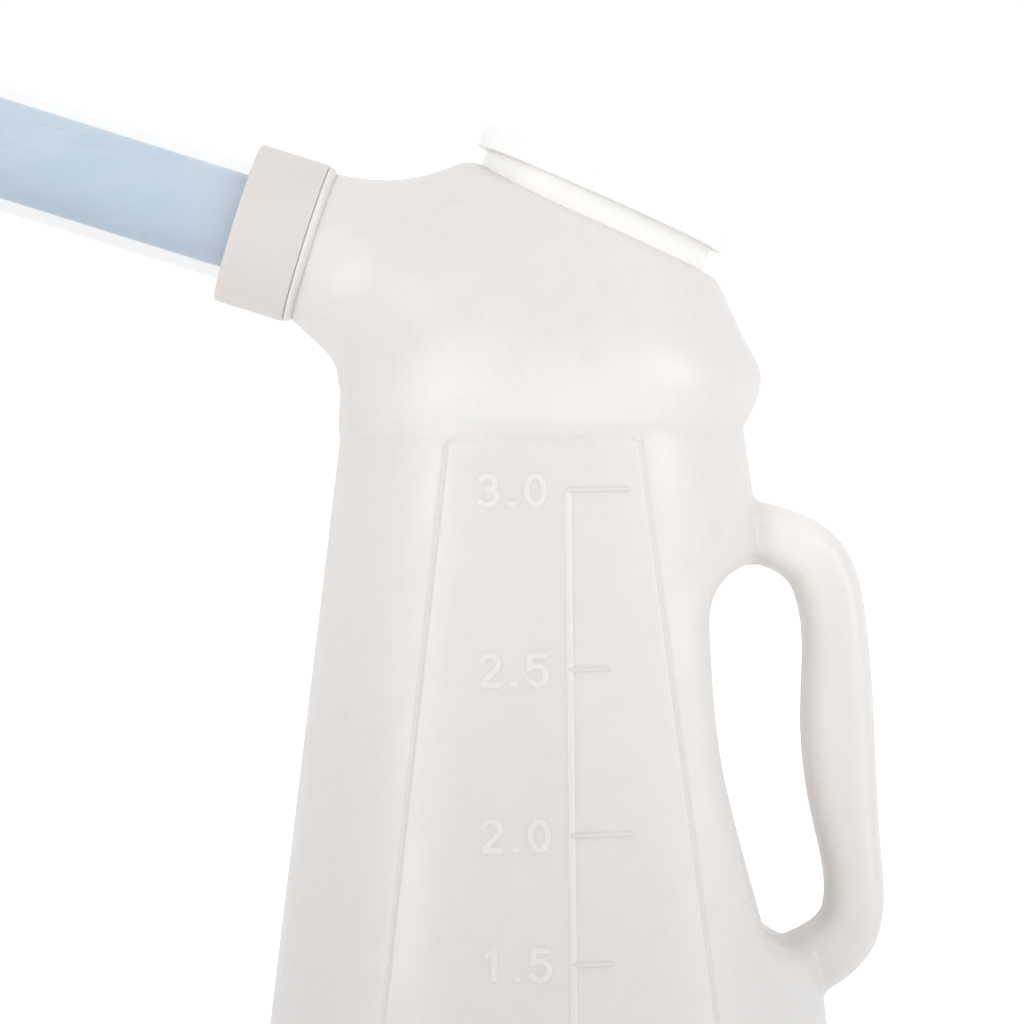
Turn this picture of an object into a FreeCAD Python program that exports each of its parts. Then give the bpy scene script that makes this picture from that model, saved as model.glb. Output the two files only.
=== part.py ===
import FreeCAD, Part
import math
import os

# Calf feeding bottle: a blow-moulded jug that holds three litres, with a filler lid, and a feeding
# tube held on its spout neck by a screw collar. Millimetres, +Z up, origin at the middle of the base.
# +X points to the handle, -X to the spout, and the XZ plane is the mould's parting plane.

V = FreeCAD.Vector
UP = V(0, 0, 1)
FACING = V(0, 1, 0)

# ---- driving dimensions ----------------------------------------------------------------------------

WALL = 1.8                     # blow-moulded wall
FIT_GAP = 0.05                 # gap between pieces that sit face to face

SHOULDER_Z = 222.5             # where the cone ends and the dome begins
SHOULDER_R = 55.1
DRAFT = 0.1315                 # growth of the cone's radius for each millimetre down
CONE_TOP_Z = 226.0             # the cone runs a little way up into the dome
BASE_CORNER = 7.0              # rounding at the foot of the cone
BASE_RECESS = 3.0              # depth of the ring-shaped recess that stiffens the base
RECESS_R = 72.0                # outside of the recess; the foot ring is beyond it
PAD_R = 24.0                   # the flat middle of the base, level with the foot ring

LID_TILT = 24.6                # degrees from level, down towards the handle
LID_CENTRE = V(17.6, 0, 289.9)  # middle of the lid's flange
LID_FLANGE_R = 36.6
LID_HALF = 3.0                 # half the flange's height
LID_TOP = 2.0                  # thickness of the lid's top plate
LID_PLUG_DEPTH = 9.0           # how far the lid's plug reaches below the mouth of the neck
LID_PLUG_WALL = 2.0
LID_DISH = 1.2                 # depth of the shallow dish in the lid's top
FILL_NECK_R = 33.4
FILL_NECK_WALL = 2.2
FILL_NECK_LENGTH = 9.8         # from the dome up to the middle of the flange
LID_SEAL_T = 1.5

SPOUT_TILT = 18.0              # degrees above level
COLLAR_REAR = V(-63.9, 0, 276.0)  # middle of the collar's rear face
COLLAR_LENGTH = 19.7
COLLAR_R = 22.3
COLLAR_FRONT_WALL = 3.0
COLLAR_EDGE = 0.9              # rounding of the collar's outer edges
SPOUT_NECK_R = 20.2            # plain neck just behind the collar
SPOUT_GAP = 1.2                # gap between the collar and that plain neck
THREAD_ROOT_R = 17.6
THREAD_CREST_R = 19.3
COLLAR_BORE_R = 20.2
COLLAR_CREST_R = 18.4
THREAD_PITCH = 4.0
THREAD_HALF = 0.8              # half the width of a thread ridge at its root
THREAD_TURNS = 2.5
SPOUT_BORE_R = 15.4
NECK_MOUTH = 12.6              # mouth of the spout neck, in front of the collar's rear face
SPOUT_SEAL_T = 2.0
TAIL_FLANGE_R = 18.9
TAIL_BORE_R = 9.7

TUBE_R = 16.5
LINING_R = 13.15
LINING_BORE_R = 11.7
TUBE_END = 128.0               # free end of the tube, in front of the collar's rear face
TAIL_REACH = 26.0              # how far the tail goes into the tube

TEAT_CUFF_OVERLAP = 22.0       # length of the teat's cuff on the tube
TEAT_LENGTH = 92.0
TEAT_WALL = 3.0
TEAT_HOLE_R = 2.2

HANDLE_W = 25.0                # handle width across the parting plane
HANDLE_RUNS = (                # top arm, grip and bottom arm, as (x, z, thickness, lean of the section)
    ((46.0, 197.5, 19.0, -90), (61.0, 195.0, 16.4, -78), (74.0, 187.6, 17.8, -45), (78.9, 174.0, 17.6, -6)),
    ((78.9, 174.0, 17.6, -6), (80.0, 146.0, 19.8, -2), (81.8, 120.0, 18.2, -6), (84.2, 100.0, 16.0, -6)),
    ((84.2, 100.0, 16.0, -6), (82.0, 86.4, 17.4, 35), (73.0, 78.6, 18.6, 60), (56.0, 72.0, 20.0, 66)),
)
SCOOP_LINE = (                 # the wall behind the handle, from top to bottom
    V(60.0, 0, 188.0), V(51.5, 0, 186.2), V(45.4, 0, 180.0), V(44.0, 0, 168.0),
    V(46.3, 0, 137.5), V(53.2, 0, 107.5), V(59.6, 0, 90.4), V(66.0, 0, 86.2),
)

PANEL_RISE = 0.8               # the flat-sided panel on the front and back
PANEL_TOP_Z = 222.0
PANEL_FOOT_Z = 24.0
PANEL_TOP_HALF = 24.9
PANEL_SPREAD = 0.1204          # growth of the panel's half width for each millimetre down
MARK_RISE = 0.6                # scale marks above the panel
MARK_T = 1.1
RULE_X = 6.3
LONG_TICK = 22.0
SHORT_TICK = 16.2
LEVELS = ((3.0, 209.3), (2.5, 162.3), (2.0, 119.3), (1.5, 85.9), (1.0, 54.9), (0.5, 28.2))
DIGIT_H = 7.6
DIGIT_W = 4.6
DIGIT_STEP = 6.2
NUMBER_LEFT = -17.0
SEGMENTS = {                   # strokes of each digit on a grid one wide and two high
    "0": ((0, 0, 0, 2), (1, 0, 1, 2), (0, 0, 1, 0), (0, 2, 1, 2)),
    "1": ((0.5, 0, 0.5, 2),),
    "2": ((0, 2, 1, 2), (1, 1, 1, 2), (0, 1, 1, 1), (0, 0, 0, 1), (0, 0, 1, 0)),
    "3": ((0, 2, 1, 2), (1, 0, 1, 2), (0, 1, 1, 1), (0, 0, 1, 0)),
    "5": ((0, 2, 1, 2), (0, 1, 0, 2), (0, 1, 1, 1), (1, 0, 1, 1), (0, 0, 1, 0)),
    ".": ((0.4, 0, 0.6, 0),),
}

BIG = 200.0


# ---- placing things along the two slanted axes ------------------------------------------------------

def turned_about_y(shape, degrees, place):
    """The shape, made about +Z at the origin, tipped about the Y axis and moved to its place."""
    out = shape.copy()
    out.rotate(V(0, 0, 0), FACING, degrees)
    out.translate(place)
    return out


def on_lid_axis(shape):
    return turned_about_y(shape, LID_TILT, LID_CENTRE)


def on_spout_axis(shape):
    return turned_about_y(shape, SPOUT_TILT - 90.0, COLLAR_REAR)


def cylinder(radius, low, high):
    return Part.makeCylinder(radius, high - low, V(0, 0, low), UP)


def ring(outer, inner, low, high):
    return cylinder(outer, low, high).cut(cylinder(inner, low - 1, high + 1))


def turned_solid(points):
    """A solid of revolution about Z from (radius, height) corners."""
    corners = [V(r, 0, z) for r, z in points]
    face = Part.Face(Part.makePolygon(corners + [corners[0]]))
    return face.revolve(V(0, 0, 0), UP, 360)


def circle_at(x, z, radius, tilt):
    wire = Part.Wire(Part.makeCircle(radius, V(0, 0, 0), UP))
    return turned_about_y(wire, tilt, V(x, 0, z))


def circle_from_edge(x, z, radius, tilt):
    """A circle in a plane tipped by tilt degrees whose lowest -X point is given."""
    lean = math.radians(-tilt)
    return circle_at(x + radius * math.cos(lean), z + radius * math.sin(lean), radius, tilt)


# ---- the jug ----------------------------------------------------------------------------------------

def cone_radius(z):
    return SHOULDER_R + DRAFT * (SHOULDER_Z - z)


def cone(inset):
    """The cone with its rounded foot and recessed base, inset from the outside by the given amount."""
    foot_z = inset
    top_z = CONE_TOP_Z
    corner = BASE_CORNER - min(inset, WALL)
    foot_r = cone_radius(foot_z) - inset
    side = Part.makePolygon([V(foot_r, 0, foot_z), V(cone_radius(top_z) - inset, 0, top_z)])
    corner_start = V(foot_r - corner, 0, foot_z)
    corner_end = V(cone_radius(foot_z + corner) - inset, 0, foot_z + corner)
    corner_mid = V(foot_r - 0.31 * corner, 0, foot_z + 0.29 * corner)
    centre = V(0, 0, foot_z)
    pad_edge = V(PAD_R, 0, foot_z)
    recess_mid = V((PAD_R + RECESS_R) / 2, 0, foot_z + BASE_RECESS)
    ring_in = V(RECESS_R, 0, foot_z)
    top_out = side.Vertexes[1].Point
    top_in = V(0, 0, top_z)
    edges = [
        Part.makeLine(centre, pad_edge),
        Part.Arc(pad_edge, recess_mid, ring_in).toShape(),
        Part.makeLine(ring_in, corner_start),
        Part.Arc(corner_start, corner_mid, corner_end).toShape(),
        Part.makeLine(corner_end, top_out),
        Part.makeLine(top_out, top_in),
        Part.makeLine(top_in, centre),
    ]
    return Part.Face(Part.Wire(edges)).revolve(V(0, 0, 0), UP, 360)


def lid_branch(inset):
    """The dome from the shoulder up to the filler neck."""
    neck_foot = LID_CENTRE - V(math.sin(math.radians(LID_TILT)), 0, math.cos(math.radians(LID_TILT))) * (
        FILL_NECK_LENGTH + inset
    )
    sections = [
        circle_at(0.6, SHOULDER_Z + 1.5 - inset, 53.9 - inset, 0),
        circle_at(2.0, SHOULDER_Z + 9.5, 56.5 - inset, 0),
        circle_at(4.8, 257.0, 51.6 - inset, 10.0),
        circle_at(8.8, 271.4, 43.4 - inset, 16.0),
        circle_at(neck_foot.x, neck_foot.z, 37.6 - inset, LID_TILT),
    ]
    return Part.makeLoft(sections, True, False)


def spout_branch(inset):
    """The dome from the shoulder round to the spout neck: circles whose planes fan out."""
    neck = COLLAR_REAR + spout_direction() * (-SPOUT_GAP - inset)
    shoulder = circle_at(0, SHOULDER_Z - inset, SHOULDER_R - inset, 0)
    turn = circle_from_edge(-54.6 + inset, 236.0, 44.0 - inset, -20)
    fan = [
        turn,
        circle_from_edge(-56.6 + inset, 243.5, 33.6 - inset, -50),
        circle_from_edge(-62.0 + 0.6 * inset, 249.8 + 0.6 * inset, 24.4 - inset, -62),
        circle_at(neck.x, neck.z, SPOUT_NECK_R - inset, SPOUT_TILT - 90),
    ]
    return Part.makeLoft([shoulder, turn], True, True).fuse(Part.makeLoft(fan, True, False))


def spout_direction():
    lean = math.radians(SPOUT_TILT)
    return V(-math.cos(lean), 0, math.sin(lean))


def handle_section(x, z, thick, lean, inset):
    """An oval across the handle, in a plane tipped by lean degrees from level."""
    oval = Part.Ellipse(V(0, 0, 0), HANDLE_W / 2 - inset, thick / 2 - inset)
    wire = Part.Wire(oval.toShape())
    wire.rotate(V(0, 0, 0), UP, 90)
    return turned_about_y(wire, lean, V(x, 0, z))


def handle(inset):
    """The hollow handle: three runs of oval sections that share their end sections."""
    runs = []
    for stations in HANDLE_RUNS:
        sections = [handle_section(x, z, thick, lean, inset) for x, z, thick, lean in stations]
        runs.append(Part.makeLoft(sections, True, False))
    return runs[0].multiFuse(runs[1:])


def scoop(grow):
    """The space cut out of the cone behind the handle, grown by the wall for the inside."""
    line = [V(p.x - grow, 0, p.z) for p in SCOOP_LINE]
    line[0] = V(SCOOP_LINE[0].x, 0, SCOOP_LINE[0].z + grow)
    line[-1] = V(SCOOP_LINE[-1].x, 0, SCOOP_LINE[-1].z - grow)
    curve = Part.BSplineCurve()
    curve.interpolate(line)
    top, foot = line[0], line[-1]
    far_top = V(BIG, 0, top.z + 3)
    far_foot = V(BIG, 0, foot.z + 3)
    edges = [
        curve.toShape(),
        Part.makeLine(foot, far_foot),
        Part.makeLine(far_foot, far_top),
        Part.makeLine(far_top, top),
    ]
    face = Part.Face(Part.Wire(edges))
    face.translate(V(0, -BIG / 2, 0))
    return face.extrude(V(0, BIG, 0))


def prism(corners):
    """A prism along Y through the whole front of the jug, from (x, z) corners."""
    points = [V(x, -BIG, z) for x, z in corners]
    return Part.Face(Part.makePolygon(points + [points[0]])).extrude(V(0, BIG, 0))


def bar(x0, z0, x1, z1, thick):
    half = thick / 2
    low_x, high_x = min(x0, x1) - half, max(x0, x1) + half
    low_z, high_z = min(z0, z1) - half, max(z0, z1) + half
    return prism([(low_x, low_z), (high_x, low_z), (high_x, high_z), (low_x, high_z)])


def panel():
    """The raised panel, front and back, wider towards the foot."""
    foot_half = PANEL_TOP_HALF + PANEL_SPREAD * (PANEL_TOP_Z - PANEL_FOOT_Z)
    corners = [
        (-PANEL_TOP_HALF, PANEL_TOP_Z), (PANEL_TOP_HALF, PANEL_TOP_Z),
        (foot_half, PANEL_FOOT_Z), (-foot_half, PANEL_FOOT_Z),
    ]
    front = prism(corners)
    back = front.mirror(V(0, 0, 0), FACING)
    return front.fuse(back).common(skin(PANEL_RISE))


def skin(rise):
    """The cone grown outwards by the rise, without its base."""
    low, high = PANEL_FOOT_Z, PANEL_TOP_Z
    return Part.makeCone(cone_radius(low) + rise, cone_radius(high) + rise, high - low, V(0, 0, low), UP)


def scale_marks():
    """The upright rule, its ticks and the litre numbers."""
    strokes = [bar(RULE_X, LEVELS[-1][1], RULE_X, LEVELS[0][1], MARK_T)]
    for litres, z in LEVELS:
        reach = LONG_TICK if litres == int(litres) else SHORT_TICK
        strokes.append(bar(RULE_X, z, reach, z, MARK_T))
        for place, digit in enumerate("%.1f" % litres):
            left = NUMBER_LEFT + place * DIGIT_STEP
            for x0, z0, x1, z1 in SEGMENTS[digit]:
                foot = z - DIGIT_H / 2
                strokes.append(bar(left + x0 * DIGIT_W, foot + z0 * DIGIT_H / 2,
                                   left + x1 * DIGIT_W, foot + z1 * DIGIT_H / 2, MARK_T))
    marks = strokes[0].multiFuse(strokes[1:])
    return marks.common(skin(PANEL_RISE + MARK_RISE))


def helical_ridge(root_r, crest_r, low, turns, phase):
    """A thread ridge about Z that stands between the two radii, sunk slightly into its wall."""
    sink = 0.4 if crest_r > root_r else -0.4
    helix = Part.makeHelix(THREAD_PITCH, THREAD_PITCH * turns, root_r)
    tip = THREAD_HALF * 0.45
    corners = [
        V(root_r - sink, 0, -THREAD_HALF), V(crest_r, 0, -tip),
        V(crest_r, 0, tip), V(root_r - sink, 0, THREAD_HALF),
    ]
    profile = Part.makePolygon(corners + [corners[0]])
    ridge = Part.Wire(helix.Edges).makePipeShell([profile], True, True)
    ridge.rotate(V(0, 0, 0), UP, phase)
    ridge.translate(V(0, 0, low))
    return ridge


def make_jug_body():
    outer = cone(0).cut(scoop(0))
    outer = outer.fuse(lid_branch(0)).fuse(spout_branch(0)).fuse(handle(0))
    outer = outer.fuse(panel()).fuse(scale_marks())
    outer = outer.fuse(on_lid_axis(cylinder(FILL_NECK_R, -FILL_NECK_LENGTH - 6, lid_mouth())))
    outer = outer.fuse(on_spout_axis(cylinder(SPOUT_NECK_R, -SPOUT_GAP - 8, -SPOUT_GAP)))
    outer = outer.fuse(on_spout_axis(cylinder(THREAD_ROOT_R, -SPOUT_GAP - 4, NECK_MOUTH)))
    inner = cone(WALL).cut(scoop(WALL))
    inner = inner.fuse(lid_branch(WALL)).fuse(spout_branch(WALL)).fuse(handle(WALL))
    inner = inner.fuse(on_lid_axis(cylinder(FILL_NECK_R - FILL_NECK_WALL, -FILL_NECK_LENGTH - 6, 5)))
    inner = inner.fuse(on_spout_axis(cylinder(SPOUT_BORE_R, -SPOUT_GAP - 8, NECK_MOUTH + 1)))
    jug = outer.cut(inner)
    thread = helical_ridge(THREAD_ROOT_R, THREAD_CREST_R, 1.6, THREAD_TURNS, 0)
    return jug.fuse(on_spout_axis(thread)).removeSplitter()


# ---- the lid and its seal ---------------------------------------------------------------------------

def lid_mouth():
    """Height of the filler neck's mouth on the lid's axis."""
    return LID_HALF - LID_TOP - LID_SEAL_T - 2 * FIT_GAP


def make_fill_lid():
    skirt_in = FILL_NECK_R + 0.4
    under = LID_HALF - LID_TOP
    plug_r = FILL_NECK_R - FILL_NECK_WALL - FIT_GAP * 2
    body = turned_solid([
        (0, under), (plug_r - LID_PLUG_WALL, under), (plug_r - LID_PLUG_WALL, lid_mouth() - LID_PLUG_DEPTH),
        (plug_r - 0.6, lid_mouth() - LID_PLUG_DEPTH), (plug_r, lid_mouth() - LID_PLUG_DEPTH + 2),
        (plug_r, under), (skirt_in, under), (skirt_in, -LID_HALF), (LID_FLANGE_R - 0.6, -LID_HALF),
        (LID_FLANGE_R, -LID_HALF + 0.6), (LID_FLANGE_R, LID_HALF - 1.0), (LID_FLANGE_R - 1.0, LID_HALF),
        (LID_FLANGE_R - 5.0, LID_HALF), (LID_FLANGE_R - 7.0, LID_HALF - LID_DISH), (0, LID_HALF - LID_DISH),
    ])
    return on_lid_axis(body)


def make_lid_seal():
    low = lid_mouth() + FIT_GAP
    outer = FILL_NECK_R - 0.1
    inner = FILL_NECK_R - FILL_NECK_WALL + 0.1
    return on_lid_axis(ring(outer, inner, low, low + LID_SEAL_T))


# ---- the spout: collar, seal, tail, tube and teat ---------------------------------------------------

def seal_start():
    return NECK_MOUTH + FIT_GAP


def flange_start():
    return seal_start() + SPOUT_SEAL_T + FIT_GAP


def flange_end():
    return COLLAR_LENGTH - COLLAR_FRONT_WALL - FIT_GAP


def tube_start():
    return flange_end() + FIT_GAP


def make_spout_collar():
    hole_r = TUBE_R + 0.3
    blank = turned_solid([
        (hole_r, COLLAR_LENGTH - COLLAR_FRONT_WALL), (COLLAR_BORE_R, COLLAR_LENGTH - COLLAR_FRONT_WALL),
        (COLLAR_BORE_R, 0), (COLLAR_R - COLLAR_EDGE, 0), (COLLAR_R, COLLAR_EDGE),
        (COLLAR_R, COLLAR_LENGTH - COLLAR_EDGE), (COLLAR_R - COLLAR_EDGE, COLLAR_LENGTH),
        (hole_r, COLLAR_LENGTH),
    ])
    ridge = helical_ridge(COLLAR_BORE_R, COLLAR_CREST_R, 1.6 + THREAD_PITCH / 2, THREAD_TURNS - 0.5, 0)
    return on_spout_axis(blank.fuse(ridge))


def make_spout_seal():
    return on_spout_axis(ring(THREAD_ROOT_R - 0.1, SPOUT_BORE_R - 1.5, seal_start(), seal_start() + SPOUT_SEAL_T))


def make_tube_tail():
    """A flange for the collar to clamp, and a barbed stub that fills the tube's bore."""
    stub_r = LINING_BORE_R - FIT_GAP
    low, high = flange_start(), flange_end()
    end = high + TAIL_REACH
    body = turned_solid([
        (TAIL_BORE_R, low), (TAIL_FLANGE_R, low), (TAIL_FLANGE_R, high), (stub_r, high),
        (stub_r, end - 2), (stub_r - 0.9, end), (TAIL_BORE_R, end),
    ])
    return on_spout_axis(body)


def make_feeding_tube():
    return on_spout_axis(ring(TUBE_R, LINING_R + FIT_GAP, tube_start(), TUBE_END))


def make_tube_lining():
    return on_spout_axis(ring(LINING_R, LINING_BORE_R, tube_start(), TUBE_END))


def make_calf_teat():
    """A cuff over the tube's end, a tapered shank and a rounded bulb with a hole through its tip."""
    cuff_in = TUBE_R + FIT_GAP
    cuff_out = cuff_in + TEAT_WALL
    start = TUBE_END - TEAT_CUFF_OVERLAP
    face = TUBE_END + FIT_GAP
    tip = start + TEAT_LENGTH
    shank = Part.BSplineCurve()
    shank.interpolate([
        V(cuff_out, 0, face), V(17.0, 0, face + 8.0), V(13.2, 0, face + 20.0), V(11.4, 0, face + 36.0),
        V(12.0, 0, tip - 18.0), V(12.4, 0, tip - 10.0), V(9.0, 0, tip - 2.2), V(TEAT_HOLE_R, 0, tip),
    ])
    bead = Part.Arc(
        V(cuff_out, 0, start + 4.0), V(cuff_out + 1.5, 0, start + 2.0), V(cuff_out, 0, start)
    )
    corners = [
        V(TEAT_HOLE_R, 0, tip - TEAT_WALL), V(7.6, 0, tip - 9.0), V(8.2, 0, face + 34.0),
        V(9.8, 0, face + 19.0), V(13.0, 0, face + 8.0), V(13.6, 0, face), V(cuff_in, 0, face),
        V(cuff_in, 0, start), V(cuff_out, 0, start),
    ]
    edges = [Part.makeLine(V(cuff_out, 0, start + 4.0), V(cuff_out, 0, face)), shank.toShape()]
    before = V(TEAT_HOLE_R, 0, tip)
    for corner in corners:
        edges.append(Part.makeLine(before, corner))
        before = corner
    edges.append(bead.toShape())
    solid = Part.Face(Part.Wire(Part.__sortEdges__(edges))).revolve(V(0, 0, 0), UP, 360)
    return on_spout_axis(solid)


# ---- every piece, one file each ----------------------------------------------------------------------

PIECES = {
    "jug_body": make_jug_body,
    "fill_lid": make_fill_lid,
    "lid_seal": make_lid_seal,
    "spout_collar": make_spout_collar,
    "spout_seal": make_spout_seal,
    "tube_tail": make_tube_tail,
    "feeding_tube": make_feeding_tube,
    "tube_lining": make_tube_lining,
    "calf_teat": make_calf_teat,
}

os.makedirs("parts", exist_ok=True)
for name, make in PIECES.items():
    shape = make()
    shape.exportStep("parts/%s.step" % name)
    box = shape.BoundBox
    print("%-13s solids %d valid %s volume %.1f cm3 x %.1f..%.1f z %.1f..%.1f" % (
        name, len(shape.Solids), shape.isValid(), shape.Volume / 1000, box.XMin, box.XMax, box.ZMin, box.ZMax))
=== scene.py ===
import math

import bmesh
import bpy
import numpy as np
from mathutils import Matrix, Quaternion, Vector


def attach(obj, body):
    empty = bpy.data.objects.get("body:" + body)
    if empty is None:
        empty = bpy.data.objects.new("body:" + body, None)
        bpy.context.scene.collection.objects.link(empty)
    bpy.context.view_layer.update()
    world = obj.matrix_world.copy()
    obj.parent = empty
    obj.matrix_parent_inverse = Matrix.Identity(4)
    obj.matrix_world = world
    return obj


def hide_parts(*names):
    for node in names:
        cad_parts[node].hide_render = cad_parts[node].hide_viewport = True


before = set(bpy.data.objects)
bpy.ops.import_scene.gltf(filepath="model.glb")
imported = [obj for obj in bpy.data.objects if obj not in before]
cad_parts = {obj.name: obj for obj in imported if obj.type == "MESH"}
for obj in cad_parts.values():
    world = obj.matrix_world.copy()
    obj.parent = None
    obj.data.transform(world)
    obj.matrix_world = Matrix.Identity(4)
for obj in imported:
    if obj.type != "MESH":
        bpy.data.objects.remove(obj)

for name in ("Cube", "Light", "Camera"):
    if name in bpy.data.objects:
        bpy.data.objects.remove(bpy.data.objects[name])

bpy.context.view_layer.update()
MM = 0.001

# Dimensions are in millimetres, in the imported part's frame. Heights in a turned piece run along its own axis.
WALL = 1.8
SHOULDER_Z = 222.5             # where the dome stands on the cone
SHOULDER_R = 55.1
DRAFT = 0.1315                 # growth of the cone's radius for each millimetre down
CONE_TOP_Z = 226.0
BASE_CORNER = 7.0
BASE_RECESS = 3.0              # depth of the ring recess under the base
RECESS_R = 72.0
PAD_R = 24.0

LID_TILT = 24.6                # degrees from straight up, towards +X
LID_CENTRE = (17.6, 289.9)
FILL_NECK_R = 33.4
FILL_NECK_WALL = 2.2
FILL_NECK_LENGTH = 9.8
FILL_NECK_FLARE = 1.6          # the neck's foot spreads onto the dome by this much
FILL_NECK_FOOT = -12.4
FILL_MOUTH = -0.6
FILL_HOLE_R = FILL_NECK_R - FILL_NECK_WALL / 2

SPOUT_TILT = 18.0              # degrees up from level
SPOUT_LEAN = SPOUT_TILT - 90   # the same, from straight up
COLLAR_REAR = (-63.9, 276.0)
COLLAR_LENGTH = 19.7
SPOUT_NECK_R = 20.2
SPOUT_GAP = 1.2                # between the dome and the collar
NECK_RIM_R = 22.0              # the pale rim that fills that gap
THREAD_ROOT_R = 17.6
THREAD_CREST_R = 19.3
SPOUT_BORE_R = 15.4
SPOUT_NECK_FOOT = -3.8
SPOUT_HOLE_R = (THREAD_ROOT_R + SPOUT_BORE_R) / 2
NECK_MOUTH = 12.6
THREAD_PITCH = 4.0
THREAD_TURNS = 2.5
THREAD_FOOT_HALF = 0.8         # half the width of a thread's ridge, at its foot and at its crest
THREAD_CREST_HALF = 0.36
NECKS_APART = -35.0            # X that has the filler neck on one side and the spout neck on the other
HOLE_REACH = 2.5               # how far under a neck the skin is opened
RIM_REACH = 3.0                # how far under a neck its hole's edge can lie

LID_FLANGE_R = 36.6
LID_HALF = 3.0
LID_UNDER = 1.0                # underside of the lid's top plate, on the lid's axis
LID_PLUG_R = 31.1
LID_PLUG_FOOT = -9.6
LID_PLUG_WALL = 2.0
LID_DISH = 1.2
SKIRT_GAP = 0.4

COLLAR_R = 22.3
COLLAR_EDGE = 0.9
COLLAR_BORE_R = 20.2
COLLAR_CREST_R = 18.4
COLLAR_HOLE_R = 16.8

TUBE_R = 16.5
TUBE_BORE_R = 13.2
LINING_R = 13.15
LINING_BORE_R = 11.7
TUBE_START = 16.7
TUBE_END = 128.0
TEAT_START = 106.0
TEAT_TIP = 198.0
TEAT_HOLE_R = 2.2

SEAM_HALF = 0.45               # the parting line that the mould leaves all round, on the XZ plane
SEAM_RISE = 0.2
SHOULDER_LINE = 0.35           # depth of the line where the dome stands on the cone
SHOULDER_LINE_UP = 0.7
SHOULDER_LINE_HALF = 0.8

LID_BRANCH_EDGE = 2.2          # radii of the rounded edges and joints between the skin's shapes
SPOUT_BRANCH_EDGE = 0.8
CONE_TOP_EDGE = 1.2
SCOOP_EDGE = 4.0
HANDLE_ROOT = 2.0
DOME_ROOT = 1.2
SADDLE_WIDTH = 1.5             # of the soft joint between the two necks' shapes, low on the dome
SADDLE_GROWTH = 12.5           # what it gains between the next two heights
SADDLE_LOW_Z = 240.0
SADDLE_HIGH_Z = 276.0

HANDLE_HALF_WIDTH = 12.5
SQUARE = 2.7                   # how square the handle's oval section is
HANDLE_ROWS = (                # x, z, thickness, tilt of the section
    (46.0, 197.5, 19.0, -90), (61.0, 195.0, 16.4, -78), (74.0, 187.6, 17.8, -45), (78.9, 174.0, 17.6, -6),
    (80.0, 146.0, 19.8, -2), (81.8, 120.0, 18.2, -6), (84.2, 100.0, 16.0, -6), (82.0, 86.4, 17.4, 35),
    (73.0, 78.6, 18.6, 60), (56.0, 72.0, 20.0, 66),
)
SCOOP_ROWS = (                 # the wall behind the handle, from top to bottom
    (60.0, 188.0), (51.5, 186.2), (45.4, 180.0), (44.0, 168.0),
    (46.3, 137.5), (53.2, 107.5), (57.5, 91.6), (60.8, 84.8), (66.8, 82.6),
)
SCOOP_MOUTH = ((200.0, 191.0), (200.0, 89.2))   # that space's open side, out past the handle

PANEL_RISE = 0.65
PANEL_SIDE_Y = 25.0            # the panels are on the front and back, further out than this
EDGE_SOFT = 0.34               # how softly the panel's edge rises
GROOVE = 0.28                  # depth of the fine groove along that edge
GROOVE_OUT = 0.9               # how far outside the edge it lies
GROOVE_HALF = 0.42
PANEL_TOP_Z = 222.0
PANEL_FOOT_Z = 24.0
PANEL_TOP_HALF = 24.9
PANEL_SPREAD = 0.1204          # growth of the panel's half width for each millimetre down
FADE_FROM_Z = SHOULDER_Z + 1.0      # going down, the panel fades in between these heights
FADE_TO_Z = SHOULDER_Z - 1.5

RULE_X = 6.3
LONG_TICK = 22.0
SHORT_TICK = 16.2
LEVELS = ((3.0, 209.3), (2.5, 162.3), (2.0, 119.3), (1.5, 85.9), (1.0, 54.9), (0.5, 28.2))
DIGIT_H = 7.6
DIGIT_W = 4.6
DIGIT_STEP = 6.2
NUMBER_LEFT = -17.0
TICK_HALF = 0.7                # half the width of a stroke, and its height, for each kind
LONG_TICK_RISE = 0.4
SHORT_TICK_RISE = 0.3
RULE_HALF = 0.9
RULE_RISE = 0.22
DIGIT_HALF = 0.8
DIGIT_RISE = 0.14


# ---- small maths ----

def direction(tilt):
    """The (x, z) direction that is tilt degrees from straight up, towards +X."""
    lean = math.radians(tilt)
    return np.array([math.sin(lean), math.cos(lean)])


def circle_from_edge(x, z, radius, tilt):
    """A row (x, z, radius, tilt) for a circle given by its lowest -X point."""
    lean = math.radians(-tilt)
    return (x + radius * math.cos(lean), z + radius * math.sin(lean), radius, tilt)


def smooth_rows(rows, count):
    """Natural cubic through the rows, spaced by the distance between their (x, z) points."""
    rows = np.array(rows, float)
    gaps = np.linalg.norm(np.diff(rows[:, :2], axis=0), axis=1)
    knots = np.concatenate([[0], np.cumsum(gaps)])
    n = len(rows)
    system = np.eye(n)
    right = np.zeros((n, rows.shape[1]))
    slope = np.diff(rows, axis=0) / gaps[:, None]
    for i in range(1, n - 1):
        system[i, i - 1:i + 2] = gaps[i - 1], 2 * (gaps[i - 1] + gaps[i]), gaps[i]
        right[i] = 6 * (slope[i] - slope[i - 1])
    bend = np.linalg.solve(system, right)
    at = np.linspace(0, knots[-1], count)
    k = np.clip(np.searchsorted(knots, at) - 1, 0, n - 2)
    h = gaps[k][:, None]
    a = (knots[k + 1] - at)[:, None] / h
    b = 1 - a
    return a * rows[k] + b * rows[k + 1] + ((a**3 - a) * bend[k] + (b**3 - b) * bend[k + 1]) * h * h / 6


def straight_rows(first, last, count):
    """Rows evenly spaced from the first to the last."""
    share = np.linspace(0, 1, count)[:, None]
    return np.array(first, float) * (1 - share) + np.array(last, float) * share


def round_max(a, b, r):
    """The larger of two distances, with the edge between them rounded to radius r."""
    corner = np.hypot(np.maximum(a + r, 0), np.maximum(b + r, 0))
    return np.minimum(-r, np.maximum(a, b)) + corner


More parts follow.
